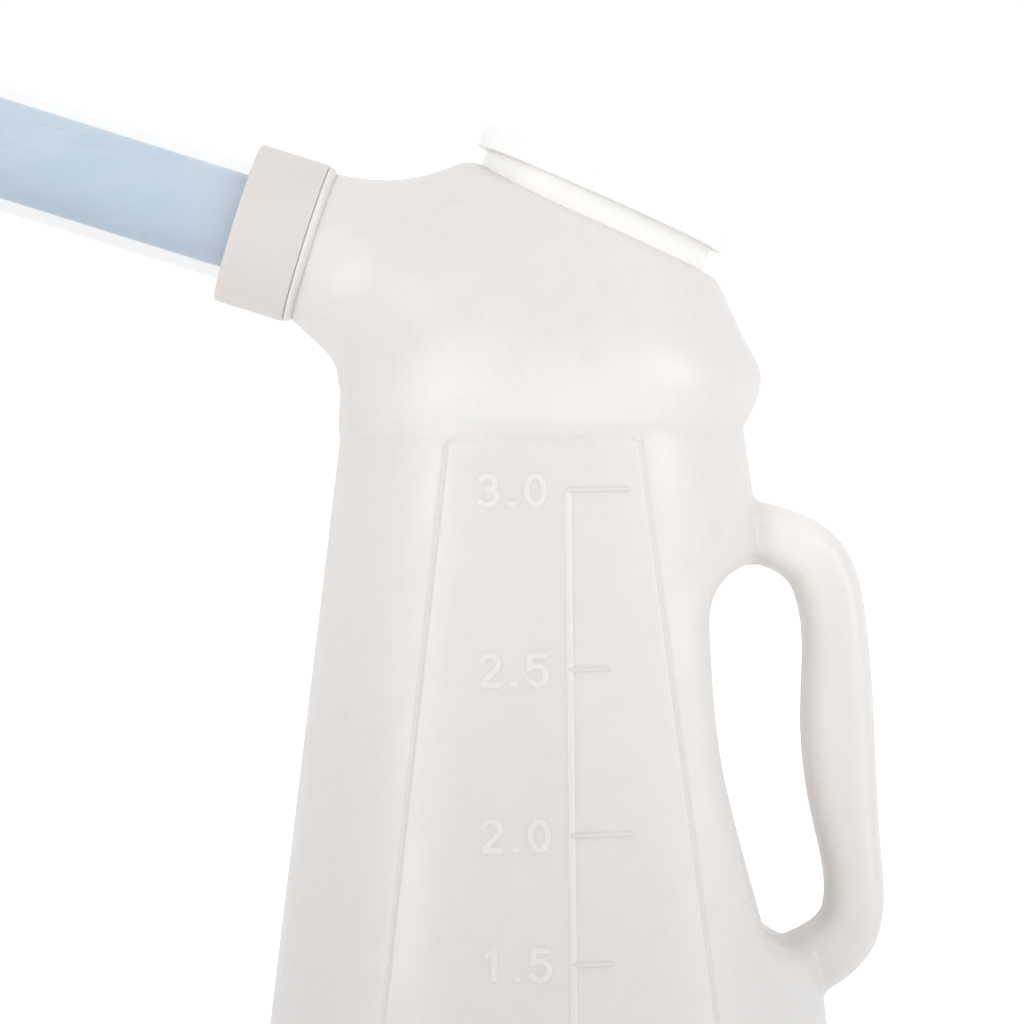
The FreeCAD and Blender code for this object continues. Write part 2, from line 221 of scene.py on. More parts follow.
def round_min(a, b, r):
    """The smaller of two distances, with the corner between them filled to radius r."""
    return -round_max(-a, -b, r)


def soft_min(a, b, k):
    """The smaller of two distances, with a soft saddle about k wide where they meet."""
    h = np.maximum(k - np.abs(a - b), 0) / k
    return np.minimum(a, b) - h * h * h * k / 6


def smooth_step(low, high, value):
    """0 at low, 1 at high, and smooth between. low may be the larger."""
    t = np.clip((value - low) / (high - low), 0, 1)
    return t * t * (3 - 2 * t)


# ---- the jug's skin as a distance field ----
# Every shape in it is symmetric about the XZ plane, so its numbers are kept on one grid in that plane.

GRID_STEP = 0.5
GRID_X = np.arange(-96.0, 108.0, GRID_STEP)
GRID_Z = np.arange(-6.0, 312.0, GRID_STEP)
FLAT_X, FLAT_Z = np.meshgrid(GRID_X, GRID_Z, indexing="ij")
FAR = 1e6                      # farther than anything in the grid
SLOPE_STEP = 0.05              # for slopes taken as differences


def swept(rows):
    """Sections that fan out along a line: offset within the section, its size, distance past the ends.

    Each row is (x, z, size, tilt). A size is a radius or a thickness. Each result is a plane over the grid.
    """
    x, z, half, tilt = rows.T
    lean = np.radians(tilt)
    normal = np.stack([np.sin(lean), np.cos(lean)], 1)
    along = np.sign(((x[-1] - x[0]) * normal[0, 0] + (z[-1] - z[0]) * normal[0, 1]) or 1)
    normal = normal * along
    offset = np.zeros(FLAT_X.shape)
    size = np.full(FLAT_X.shape, half[0])
    past = np.full(FLAT_X.shape, 1e3)
    best = np.full(FLAT_X.shape, FAR)

    def keep(where, q, r, e):
        score = np.abs(q) - r + np.maximum(e, 0)
        better = where & (score < best)
        offset[better] = q[better]
        size[better] = r[better]
        past[better] = e[better]
        best[better] = score[better]

    def side(k):
        return (FLAT_X - x[k]) * normal[k, 0] + (FLAT_Z - z[k]) * normal[k, 1]

    def within(k, cx, cz, angle):
        return (FLAT_X - cx) * np.cos(angle) - (FLAT_Z - cz) * np.sin(angle)

    length = np.concatenate([[0], np.cumsum(np.hypot(np.diff(x), np.diff(z)))])
    before = side(0)
    keep(before < 0, within(0, x[0], z[0], lean[0]), np.full(FLAT_X.shape, half[0]), -before)
    for k in range(len(x) - 1):
        after = side(k + 1)
        between = (before >= 0) & (after < 0)
        share = np.where(between, before / np.where(between, before - after, 1), 0)
        cx = x[k] + share * (x[k + 1] - x[k])
        cz = z[k] + share * (z[k + 1] - z[k])
        angle = lean[k] + share * (lean[k + 1] - lean[k])
        r = half[k] + share * (half[k + 1] - half[k])
        travelled = length[k] + share * (length[k + 1] - length[k])
        keep(between, within(k, cx, cz, angle), r, -np.minimum(travelled, length[-1] - travelled))
        before = after
    keep(before >= 0, within(-1, x[-1], z[-1], lean[-1]), np.full(FLAT_X.shape, half[-1]), before)
    return offset, size, past


def scoop_distance():
    """Signed distance in the XZ plane to the space behind the handle, negative inside it."""
    line = np.concatenate([SCOOP_MOUTH[:1], smooth_rows(SCOOP_ROWS, 90), SCOOP_MOUTH[1:]])
    distance = np.full(FLAT_X.shape, FAR)
    inside = np.zeros(FLAT_X.shape, bool)
    for (x0, z0), (x1, z1) in zip(line, np.roll(line, -1, axis=0)):
        dx, dz = x1 - x0, z1 - z0
        t = np.clip(((FLAT_X - x0) * dx + (FLAT_Z - z0) * dz) / (dx * dx + dz * dz), 0, 1)
        distance = np.minimum(distance, np.hypot(FLAT_X - x0 - t * dx, FLAT_Z - z0 - t * dz))
        crosses = (z0 > FLAT_Z) != (z1 > FLAT_Z)
        if z1 != z0:
            inside ^= crosses & (FLAT_X < x0 + (FLAT_Z - z0) / (z1 - z0) * dx)
    return np.where(inside, -distance, distance)


def neck_row(centre, tilt, along, radius):
    """A row (x, z, radius, tilt) for a circle around a neck's axis."""
    point = np.array(centre) + direction(tilt) * along
    return (point[0], point[1], radius, tilt)


LID_BRANCH = smooth_rows([
    (0.6, 224.0, 53.9, 0.0), (2.0, 232.0, 56.5, 0.0), (4.8, 257.0, 51.6, 10.0), (8.8, 271.4, 43.4, 16.0),
    neck_row(LID_CENTRE, LID_TILT, -FILL_NECK_LENGTH, 37.6),
], 70)
SPOUT_BRANCH = np.concatenate([
    straight_rows((0.0, SHOULDER_Z, SHOULDER_R, 0.0), circle_from_edge(-54.6, 236.0, 44.0, -20), 30)[:-1],
    smooth_rows([
        circle_from_edge(-54.6, 236.0, 44.0, -20), circle_from_edge(-56.6, 243.5, 33.6, -50),
        circle_from_edge(-62.0, 249.8, 24.4, -62),
        neck_row(COLLAR_REAR, SPOUT_LEAN, -SPOUT_GAP, SPOUT_NECK_R),
    ], 70),
])
FIELDS = {
    "lid": swept(LID_BRANCH),
    "spout": swept(SPOUT_BRANCH),
    "handle": swept(smooth_rows(HANDLE_ROWS, 120)),
    "scoop": (scoop_distance(),),
}
STACK = np.stack([plane for name in FIELDS for plane in FIELDS[name]], -1)


def look_up(x, z):
    """The planes of STACK at the points, by bilinear interpolation."""
    u = np.clip((x - GRID_X[0]) / GRID_STEP, 0, len(GRID_X) - 1.001)
    v = np.clip((z - GRID_Z[0]) / GRID_STEP, 0, len(GRID_Z) - 1.001)
    i, j = u.astype(int), v.astype(int)
    a, b = (u - i)[..., None], (v - j)[..., None]
    low = STACK[i, j] * (1 - a) + STACK[i + 1, j] * a
    high = STACK[i, j + 1] * (1 - a) + STACK[i + 1, j + 1] * a
    return np.moveaxis(low * (1 - b) + high * b, -1, 0)


def arc(cx, cy, rx, ry, start, end, count=12):
    """Points on an ellipse, from start to end in degrees."""
    angle = np.radians(np.linspace(start, end, count))
    return list(zip(cx + rx * np.cos(angle), cy + ry * np.sin(angle)))


DIGITS = {                     # strokes on a box one wide and two high
    "0": [arc(0.5, 1, 0.5, 1, 90, 450, 30)],
    "1": [[(0.12, 1.6), (0.55, 2)], [(0.55, 2), (0.55, 0)]],
    "2": [arc(0.5, 1.46, 0.48, 0.54, 165, -40), [(0.87, 1.11), (0.02, 0)], [(0.02, 0), (1, 0)]],
    "3": [arc(0.47, 1.51, 0.45, 0.49, 150, -90), arc(0.47, 0.52, 0.53, 0.52, 90, -150)],
    "5": [[(0.94, 2), (0.12, 2)], [(0.12, 2), (0.05, 1.1)], arc(0.46, 0.66, 0.54, 0.66, 130, -150)],
    ".": [[(0.42, 0.05), (0.58, 0.05)]],
}


def tick_strokes():
    """The ticks, each a line in the XZ plane with half its width and its height."""
    strokes = []
    for litres, z in LEVELS:
        whole = litres == int(litres)
        reach, rise = (LONG_TICK, LONG_TICK_RISE) if whole else (SHORT_TICK, SHORT_TICK_RISE)
        strokes.append(([(RULE_X, z), (reach, z)], TICK_HALF, rise))
    return strokes


def scale_strokes():
    """The rule and the numbers, as lines like those of the ticks."""
    strokes = [([(RULE_X, LEVELS[-1][1]), (RULE_X, LEVELS[0][1])], RULE_HALF, RULE_RISE)]
    for litres, z in LEVELS:
        for place, digit in enumerate("%.1f" % litres):
            left, foot = NUMBER_LEFT + place * DIGIT_STEP, z - DIGIT_H / 2
            for line in DIGITS[digit]:
                drawn = [(left + u * DIGIT_W, foot + v * DIGIT_H / 2) for u, v in line]
                strokes.append((drawn, DIGIT_HALF, DIGIT_RISE))
    return strokes


def panel_edge(x, z):
    """Distance inside the panel's outline, negative outside it. The outline is open at the top."""
    half = PANEL_TOP_HALF + PANEL_SPREAD * (PANEL_TOP_Z - z)
    return np.minimum(half - np.abs(x), z - PANEL_FOOT_Z)


def relief(x, z):
    """Height of the panel above the cone, less the fine groove along its edge."""
    inside = panel_edge(x, z)
    height = PANEL_RISE * smooth_step(-EDGE_SOFT, EDGE_SOFT, inside)
    height -= GROOVE * np.exp(-((inside + GROOVE_OUT) / GROOVE_HALF) ** 2)
    return height * smooth_step(FADE_FROM_Z, FADE_TO_Z, z)


def skin(x, y, z, planes=None):
    """Distance from the jug's outer skin without its relief, in millimetres, negative inside."""
    lid_q, lid_r, lid_e, spout_q, spout_r, spout_e, grip_q, grip_t, grip_e, scoop = (
        look_up(x, z) if planes is None else planes
    )
    lid = round_max(np.hypot(lid_q, y) - lid_r, lid_e, LID_BRANCH_EDGE)
    spout = round_max(np.hypot(spout_q, y) - spout_r, spout_e, SPOUT_BRANCH_EDGE)
    dome = soft_min(lid, spout, SADDLE_WIDTH + SADDLE_GROWTH * smooth_step(SADDLE_LOW_Z, SADDLE_HIGH_Z, z))

    radius = np.hypot(x, y)
    slant = 1 / math.hypot(1, DRAFT)
    cone = (radius - SHOULDER_R - DRAFT * (SHOULDER_Z - z)) * slant
    cone = round_max(cone, z - CONE_TOP_Z, CONE_TOP_EDGE)
    ring = np.clip((radius - PAD_R) / (RECESS_R - PAD_R), 0, 1)
    cone = round_max(cone, BASE_RECESS * np.sin(math.pi * ring) ** 1.5 - z, BASE_CORNER)
    body = round_max(cone, -scoop, SCOOP_EDGE)

    u, v = np.abs(grip_q) / (grip_t / 2), np.abs(y) / HANDLE_HALF_WIDTH
    size = np.maximum((u**SQUARE + v**SQUARE) ** (1 / SQUARE), 1e-3)
    slope = np.hypot(
        (u / size) ** (SQUARE - 1) / (grip_t / 2), (v / size) ** (SQUARE - 1) / HANDLE_HALF_WIDTH
    )
    grip = np.maximum((size - 1) / slope, grip_e)
    return round_min(round_min(body, grip, HANDLE_ROOT), dome, DOME_ROOT)


def net_of(field, origin, step):
    """Surface nets: a point in each cell that the surface crosses, a quad for each grid edge it crosses."""
    inside = field < 0
    shape = np.array(field.shape) - 1
    corners = [(i, j, k) for i in (0, 1) for j in (0, 1) for k in (0, 1)]
    count = np.zeros(shape, np.int8)
    for i, j, k in corners:
        count += inside[i:i + shape[0], j:j + shape[1], k:k + shape[2]]
    mixed = (count > 0) & (count < 8)
    cells = np.argwhere(mixed)
    index = np.full(shape, -1)
    index[mixed] = np.arange(len(cells))
    total, hits = np.zeros((len(cells), 3)), np.zeros(len(cells))
    for a in corners:
        for axis in range(3):
            if a[axis]:
                continue
            b = tuple(1 if n == axis else a[n] for n in range(3))
            fa = field[tuple((cells + a).T)]
            fb = field[tuple((cells + b).T)]
            cross = (fa < 0) != (fb < 0)
            share = np.where(cross, fa / np.where(cross, fa - fb, 1), 0)
            spot = np.array(a, float) + share[:, None] * (np.array(b) - a)
            total += spot * cross[:, None]
            hits += cross
    points = (cells + total / hits[:, None]) * step + origin
    quads = []
    for axis in range(3):
        u, v = (axis + 1) % 3, (axis + 2) % 3
        low, high = [slice(None)] * 3, [slice(None)] * 3
        low[axis], high[axis] = slice(None, -1), slice(1, None)
        first, second = inside[tuple(low)], inside[tuple(high)]
        for swap, edges in ((False, first & ~second), (True, ~first & second)):
            at = np.argwhere(edges)
            at = at[(at[:, u] > 0) & (at[:, v] > 0) & (at[:, u] < shape[u]) & (at[:, v] < shape[v])]
            back_u, back_v = np.zeros(3, int), np.zeros(3, int)
            back_u[u], back_v[v] = 1, 1
            ring = [at - back_u - back_v, at - back_v, at, at - back_u]
            quad = np.stack([index[tuple(c.T)] for c in ring], 1)
            quads.append(quad[:, ::-1] if swap else quad)
    return points, np.concatenate(quads)


def project(points, surface, rounds=2):
    """Moves the points onto the surface, along its slope."""
    h = SLOPE_STEP
    for _ in range(rounds):
        here = surface(points)
        slope = np.stack([(surface(points + h * np.eye(3)[n]) - here) / h for n in range(3)], 1)
        points = points - slope * (here / np.maximum((slope**2).sum(1), 0.2))[:, None]
    return points


def relax(points, quads, surface, rounds):
    """Evens out the net along the surface."""
    edges = np.concatenate([quads[:, (0, 1)], quads[:, (1, 2)], quads[:, (2, 3)], quads[:, (3, 0)]])
    for _ in range(rounds):
        total, count = np.zeros(points.shape), np.zeros(len(points))
        for a, b in (edges.T, edges.T[::-1]):
            for n in range(3):
                total[:, n] += np.bincount(a, points[b, n], len(points))
            count += np.bincount(a, minlength=len(points))
        points = project(points * 0.4 + 0.6 * total / count[:, None], surface, 1)
    return points


def sampled(step, inset):
    """The field on a grid of that step, mirrored from its +Y half."""
    xs = np.arange(-94.0, 100.0, step)
    zs = np.arange(-4.0, 300.0, step)
    half = np.arange(step / 2, 92.0, step)
    x, z = np.meshgrid(xs, zs, indexing="ij")
    planes = look_up(x, z)
    slabs = [skin(x, np.full(x.shape, y), z, planes) + inset for y in half]
    field = np.stack(slabs[::-1] + slabs, 1)
    return field, np.array([xs[0], -half[-1], zs[0]])


def neck_spot(points, centre, tilt):
    """For each point, its distance along a neck's axis, away from it, and to its side in the XZ plane."""
    axis = direction(tilt)
    rel = points[:, (0, 2)] - np.array(centre)
    along = rel @ axis
    aside = rel[:, 0] * axis[1] - rel[:, 1] * axis[0]
    return along, np.hypot(aside, points[:, 1]), aside


def open_neck(points, quads, centre, tilt, low, cut_r):
    """Drops the faces that close a neck, and puts the hole's edge on a circle inside the neck's wall."""
    along, away, aside = neck_spot(points, centre, tilt)
    middle = away[quads].mean(1)
    dropped = (middle < cut_r) & (along[quads].min(1) > low)
    edge = np.intersect1d(quads[dropped], quads[~dropped])
    axis = direction(tilt)
    across = np.array([axis[1], 0, -axis[0]])
    spoke = aside[edge][:, None] * across + points[edge, 1][:, None] * np.array([0, 1, 0])
    points[edge] += spoke * (cut_r / away[edge] - 1)[:, None]
    return points, quads[~dropped]


def skin_net(step, inset, rounds):
    """Points and quads of the skin, or of one that lies inside it by inset, open at both necks."""
    surface = lambda p: skin(p[:, 0], p[:, 1], p[:, 2]) + inset
    field, origin = sampled(step, inset)
    points, quads = net_of(field, origin, step)
    points = project(points, surface, 3)
    points = relax(points, quads, surface, rounds)
    points, quads = open_neck(
        points, quads, LID_CENTRE, LID_TILT, -FILL_NECK_LENGTH - inset - HOLE_REACH, FILL_HOLE_R
    )
    points, quads = open_neck(
        points, quads, COLLAR_REAR, SPOUT_LEAN, -SPOUT_GAP - inset - HOLE_REACH, SPOUT_HOLE_R
    )
    used = np.unique(quads)
    renumber = np.zeros(len(points), int)
    renumber[used] = np.arange(len(used))
    return points[used], renumber[quads]


# ---- making mesh objects ----

def new_object(name, mesh, body):
    mesh.validate()
    mesh.shade_smooth()
    made = bpy.data.objects.new(name, mesh)
    bpy.context.scene.collection.objects.link(made)
    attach(made, body)
    return made


def mesh_of(name, points, faces):
    """A mesh, in metres, of points in millimetres."""
    mesh = bpy.data.meshes.new(name)
    corners = [tuple(p) for p in np.asarray(points) * MM]
    mesh.from_pydata(corners, [], [tuple(int(i) for i in f) for f in faces])
    return mesh


def refine(work, wanted, cuts):
    """Divides the faces whose middle, in millimetres, is wanted."""
    middles = np.array([face.calc_center_median()[:] for face in work.faces]) / MM
    edges = {edge for face, take in zip(work.faces, wanted(middles)) if take for edge in face.edges}
    bmesh.ops.subdivide_edges(work, edges=list(edges), cuts=cuts, use_grid_fill=True)


def near_panel_edge(p):
    """True in a band that holds the panel's edge and its groove."""
    on_cone = (p[:, 2] < FADE_FROM_Z) & (np.abs(p[:, 1]) > PANEL_SIDE_Y)
    return on_cone & (np.abs(panel_edge(p[:, 0], p[:, 2]) + 0.6) < 1.7)


def near_shoulder(p):
    """True in a band that holds the line under the dome and the dome's rounded foot."""
    return np.abs(p[:, 2] - 224.5) < 3.4


BEAD_STEP = 0.7
BEAD_ROOT = 1.5                # how deep a stroke is set in the wall
BEAD_ENDS = (0.97, 0.8, 0.5)   # where a stroke's rounded end has its sections, as shares of the half width
BEAD_SECTION = (               # shares of the half width and of the rise, where -1 stands for the root
    (1.0, -1), (1.0, -0.25), (0.86, 0.3), (0.6, 0.76), (0.25, 1.0),
    (-0.25, 1.0), (-0.6, 0.76), (-0.86, 0.3), (-1.0, -0.25), (-1.0, -1),
)


def bead(line, half, rise):
    """A closed rounded stroke, set in the front of the cone, along a line of (x, z) corners."""
    line = np.array(line, float)
    lengths = np.concatenate([[0], np.cumsum(np.hypot(*np.diff(line, axis=0).T))])
    at = np.linspace(0, lengths[-1], max(3, int(lengths[-1] / BEAD_STEP)))
    path = np.stack([np.interp(at, lengths, line[:, n]) for n in (0, 1)], 1)
    tangent = np.gradient(path, axis=0)
    tangent /= np.linalg.norm(tangent, axis=1)[:, None]
    beyond = np.array(BEAD_ENDS)
    path = np.concatenate([
        path[:1] - tangent[:1] * beyond[:, None] * half,
        path,
        path[-1:] + tangent[-1:] * beyond[::-1, None] * half,
    ])
    tangent = np.concatenate([np.repeat(tangent[:1], 3, 0), tangent, np.repeat(tangent[-1:], 3, 0)])
    scale = np.concatenate([np.sqrt(1 - beyond**2), np.ones(len(at)), np.sqrt(1 - beyond[::-1] ** 2)])
    across = np.stack([tangent[:, 1], -tangent[:, 0]], 1)
    u, h = np.array(BEAD_SECTION).T
    flat = path[:, None] + across[:, None] * (u * half)[None, :, None] * scale[:, None, None]
    x, z = flat[..., 0], flat[..., 1]
    radius = SHOULDER_R + DRAFT * (SHOULDER_Z - z) + PANEL_RISE
    y = -np.sqrt(radius**2 - x**2)
    out = np.stack([x / radius, y / radius, np.full(x.shape, DRAFT)], -1) / math.hypot(1, DRAFT)
    lift = np.where(h > -1, h * rise * scale[:, None], -BEAD_ROOT)
    points = np.stack([x, y, z], -1) + out * lift[..., None]
    rows, cols = x.shape
    faces = []
    for i in range(rows - 1):
        for j in range(cols):
            k = (j + 1) % cols
            faces.append((i * cols + j, (i + 1) * cols + j, (i + 1) * cols + k, i * cols + k))
    faces.append(tuple(range(cols)))
    faces.append(tuple(range((rows - 1) * cols, rows * cols))[::-1])
    return points.reshape(-1, 3), faces


def on_rim(points, centre, tilt, radius, low):
    """True for points on the edge of the hole under a neck, which stay inside its wall."""
    along, away, _ = neck_spot(points, centre, tilt)
    return (along > low) & (np.abs(away - radius) < 0.3)


def close_necks(mesh):
    """Joins the outer skin's edge to the inner skin's edge, within the wall of each neck."""
    work = bmesh.new()
    work.from_mesh(mesh)
    rims = [edge for edge in work.edges if edge.is_boundary]
    for side in (1, -1):
        rim = [edge for edge in rims if side * (edge.verts[0].co.x - NECKS_APART * MM) > 0]
        bmesh.ops.bridge_loops(work, edges=rim)
    work.to_mesh(mesh)
    work.free()


def make_jug(finish):
    """The jug's hollow shell, refined where its relief is fine. The necks are other pieces."""
    outer, outer_quads = skin_net(step=1.9, inset=0.0, rounds=4)
    inner, inner_quads = skin_net(step=4.2, inset=WALL, rounds=3)
    mesh = mesh_of("jug_shell", outer, outer_quads)
    work = bmesh.new()
    work.from_mesh(mesh)
    refine(work, near_panel_edge, cuts=2)
    refine(work, near_shoulder, cuts=1)
    for y in (-SEAM_HALF, SEAM_HALF):
        everything = list(work.verts) + list(work.edges) + list(work.faces)
        bmesh.ops.bisect_plane(work, geom=everything, plane_co=(0, y * MM, 0), plane_no=(0, 1, 0))
    work.verts.ensure_lookup_table()
    points = np.array([v.co[:] for v in work.verts]) / MM
    faces = [tuple(v.index for v in f.verts) for f in work.faces]
    work.free()
    bpy.data.meshes.remove(mesh)

    surface = lambda p: skin(p[:, 0], p[:, 1], p[:, 2])
    fixed = on_rim(points, LID_CENTRE, LID_TILT, FILL_HOLE_R, -FILL_NECK_LENGTH - RIM_REACH)
    fixed |= on_rim(points, COLLAR_REAR, SPOUT_LEAN, SPOUT_HOLE_R, -SPOUT_GAP - RIM_REACH)
    free = project(points[~fixed], surface, 2)
    steps = SLOPE_STEP * np.eye(3)
    slope = np.stack([surface(free + step) - surface(free - step) for step in steps], 1)
    slope /= np.linalg.norm(slope, axis=1)[:, None]
    height = relief(free[:, 0], free[:, 2]) * (np.abs(free[:, 1]) > PANEL_SIDE_Y)
    height += SEAM_RISE * (np.abs(free[:, 1]) < 0.05)
    height -= SHOULDER_LINE * np.exp(
        -((free[:, 2] - SHOULDER_Z - SHOULDER_LINE_UP) / SHOULDER_LINE_HALF) ** 2
    )
    points[~fixed] = free + slope * height[:, None]
    points[:, 2] = np.maximum(points[:, 2], 0)

    shell = mesh_of("jug_shell", *joined([(points, faces), (inner, inner_quads[:, ::-1])]))
    close_necks(shell)
    made = new_object("jug_shell", shell, "jug")
    made.data.materials.append(finish)
    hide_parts("jug_body")


# ---- turned pieces ----

def rounded(corners, steps=4):
    """A closed loop of (radius, height, rounding) corners as (radius, height) points, its corners eased."""
    points = []
    for k, (r, s, turn) in enumerate(corners):
        here = np.array((r, s))
        if not turn:
            points.append(here)
            continue
        back = np.array(corners[k - 1][:2]) - here
        on = np.array(corners[(k + 1) % len(corners)][:2]) - here
        back_length, on_length = np.linalg.norm(back), np.linalg.norm(on)
        reach = min(turn, 0.45 * back_length, 0.45 * on_length)
        first, last = here + back / back_length * reach, here + on / on_length * reach
        if back_length > 4 * reach:
            points.append(here + back / back_length * 1.6 * reach)
        for t in np.linspace(0, 1, steps + 1):
            points.append((1 - t) ** 2 * first + 2 * t * (1 - t) * here + t * t * last)
        if on_length > 4 * reach:
            points.append(here + on / on_length * 1.6 * reach)
    return points


def divided(loop, longest):
    """The closed loop with its long stretches divided."""
    points = []
    for a, b in zip(loop, loop[1:] + loop[:1]):
        parts = max(1, math.ceil(np.linalg.norm(np.array(b) - a) / longest))
        points += [np.array(a) + (np.array(b) - a) * k / parts for k in range(parts)]
    return points


def placed(r, s, angle, centre, tilt):
    """Points at a radius, height and angle about a slanted axis."""
    up = direction(tilt)
    across = np.array([up[1], -up[0]])
    x = centre[0] + up[0] * s + across[0] * r * np.cos(angle)
    z = centre[1] + up[1] * s + across[1] * r * np.cos(angle)
    return np.stack([x, r * np.sin(angle) + 0 * s, z], -1)


def turned(loop, centre, tilt, count=144):
    """Points and faces of a closed loop of (radius, height) turned about a slanted axis.

    A radius of 0 makes one point.
    """
    points, rings = [], []
    angles = np.arange(count) * 2 * math.pi / count
    total = 0
    for r, s in loop:
        here = placed(r, s, angles[:1] if r < 1e-6 else angles, centre, tilt)
        points.append(here)
        rings.append(np.full(count, total) if r < 1e-6 else total + np.arange(count))
        total += len(here)
    faces = []
    for a, b in zip(rings, rings[1:] + rings[:1]):
        for k in range(count):
            j = (k + 1) % count
            corners = dict.fromkeys(int(i) for i in (a[k], b[k], b[j], a[j]))
            if len(corners) > 2:
                faces.append(tuple(corners))
    return np.concatenate(points), faces


def thread(root_r, crest_r, low, turns, centre, tilt):
    """A helical ridge, outward or inward, that fades in and out over its first and last sixth of a turn."""
    steps = int(turns * 96)
    t = np.linspace(0, turns, steps + 1)
    grow = smooth_step(0, 0.16, t) * smooth_step(0, 0.16, turns - t)
    crest = root_r + (crest_r - root_r) * grow
    foot = np.full(len(t), root_r - math.copysign(0.3, crest_r - root_r))
    section = (
        (foot, -THREAD_FOOT_HALF), (crest, -THREAD_CREST_HALF),
        (crest, THREAD_CREST_HALF), (foot, THREAD_FOOT_HALF),
    )
    rows = [placed(r, low + THREAD_PITCH * t + aside, 2 * math.pi * t, centre, tilt) for r, aside in section]
    points = np.stack(rows, 1).reshape(-1, 3)
    n = len(section)
    faces = [
        (i * n + j, i * n + (j + 1) % n, (i + 1) * n + (j + 1) % n, (i + 1) * n + j)
        for i in range(steps) for j in range(n)
    ]
    faces += [tuple(range(n))[::-1], tuple(range(steps * n, steps * n + n))]
    return points, faces


def joined(parts):
    """Several (points, faces) as one."""
    points, faces, count = [], [], 0
    for some, corners in parts:
        points.append(some)
        faces += [tuple(i + count for i in face) for face in corners]
        count += len(some)
    return np.concatenate(points), faces


def outward(mesh):
    """Turns every face of the mesh to look out of its own shell."""
    work = bmesh.new()
    work.from_mesh(mesh)
    bmesh.ops.recalc_face_normals(work, faces=list(work.faces))
    work.to_mesh(mesh)
    work.free()
    return mesh


def piece(name, parts, body, slot, finish, *nodes):
    """Makes one object of some parts, which rides on a body and may stand for CAD nodes."""
    points, faces = joined(parts)
    made = new_object(name, outward(mesh_of(name, points, faces)), body)
    made.data.materials.append(finish)
    if nodes:
        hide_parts(*nodes)
    return made


# ---- finishes ----
# Their places and scales are in metres and in waves to the metre, but bumps are in millimetres.

class Finish:
    """A procedural material: one Principled shader and the nodes that feed it, in the object's own metres."""

    def __init__(self, name):
        self.material = bpy.data.materials.new(name)
        self.material.use_nodes = True
        self.nodes = self.material.node_tree.nodes
        self.links = self.material.node_tree.links
        self.shader = self.nodes["Principled BSDF"]
        self.spot = self.nodes.new("ShaderNodeTexCoord").outputs["Object"]

    def node(self, kind, inputs, output=0, **settings):
        made = self.nodes.new(kind)
        for key, value in settings.items():
            setattr(made, key, value)
        for key, value in inputs.items():
            self.feed(made.inputs[key], value)
        return made.outputs[output]

    def feed(self, socket, value):
        if isinstance(value, bpy.types.NodeSocket):
            self.links.new(value, socket)
        else:
            socket.default_value = value

    def stretched(self, scale, lean=0.0):
        """The object's coordinates leaned about Y, in degrees, then scaled along each axis."""
        leaned = self.node("ShaderNodeMapping", {"Vector": self.spot, "Rotation": (0, math.radians(lean), 0)})
        return self.node("ShaderNodeMapping", {"Vector": leaned, "Scale": scale})

    def noise(self, scale, detail=3.0, rough=0.55, vector=None, warp=0.0):
        return self.node("ShaderNodeTexNoise", {
            "Vector": vector or self.spot, "Scale": scale, "Detail": detail, "Roughness": rough,
            "Distortion": warp,
        })

    def between(self, value, low, high, start=0.0, end=1.0):
        """start where value is under low, end where it is over high, and smooth between."""
        return self.node("ShaderNodeMapRange", {
            "Value": value, "From Min": low, "From Max": high, "To Min": start, "To Max": end,
        }, interpolation_type="SMOOTHSTEP")

    def maths(self, operation, a, b):
        return self.node("ShaderNodeMath", {0: a, 1: b}, operation=operation)

    def axis(self, name):
        return self.node("ShaderNodeSeparateXYZ", {"Vector": self.spot}, output=name)

    def blend(self, share, a, b):
        made = self.nodes.new("ShaderNodeMix")
        made.data_type = "RGBA"
        for key, value in ((0, share), (6, a), (7, b)):
            if isinstance(value, tuple):
                value = (*value, 1.0)
            self.feed(made.inputs[key], value)
        return made.outputs[2]

    def bumps(self, *layers):
        """Layers of (height, depth in millimetres), each on top of the one before."""
        normal = None
        for height, depth in layers:
            inputs = {"Height": height, "Distance": depth * MM, "Strength": 1.0}
            if normal:
                inputs["Normal"] = normal
            normal = self.node("ShaderNodeBump", inputs)
        self.feed(self.shader.inputs["Normal"], normal)

    def set(self, **inputs):
        for key, value in inputs.items():
            if isinstance(value, tuple) and len(value) == 3 and "Color" in key:
                value = (*value, 1.0)
            self.feed(self.shader.inputs[key.replace("_", " ")], value)
        return self.material


FLECK = (0.45, 0.43, 0.4)
SCUFF = (0.42, 0.39, 0.34)
# Colours of painted light: over the shoulder and inside the grip.
PAINTED_SHOULDER_LIGHT = (0.93, 0.915, 0.885)
PAINTED_GRIP_LIGHT = (0.93, 0.9, 0.87)


def painted_jug_light_and_shade(f, colour, height, light, painted_foot_shade):
    """Painted light and shade on the jug: a painted highlight band over the shoulder, painted light on the
    inner side of the grip, and painted shade towards the foot.
    """
    # Painted highlight: a paler band over the shoulder.
    painted_band = f.maths("MULTIPLY", f.between(height, 0.222, 0.229), f.between(height, 0.232, 0.254, 1.0, 0.0))
    out = f.axis("X")
    painted_band = f.maths("MULTIPLY", painted_band, f.between(f.maths("ABSOLUTE", out, 0.0), 0.025, 0.052, 1.0, 0.0))
    # Painted light on the inner side of the grip, where the jug's own shade falls.
    inner = f.maths("MULTIPLY", f.between(out, 0.058, 0.064), f.between(out, 0.07, 0.083, 1.0, 0.25))
    inner = f.maths("MULTIPLY", inner, f.between(height, 0.074, 0.1))
    # Painted shade: the colour darkens towards the foot.
    foot = tuple(painted_foot_shade * c for c in (light[0], light[1] + 0.008, light[2] + 0.012))
    colour = f.blend(f.maths("MULTIPLY", painted_band, 0.36), colour, PAINTED_SHOULDER_LIGHT)
    colour = f.blend(f.between(height, 0.02, 0.235, 1.0, 0.0), colour, foot)
    return f.blend(f.maths("MULTIPLY", inner, 0.6), colour, PAINTED_GRIP_LIGHT)


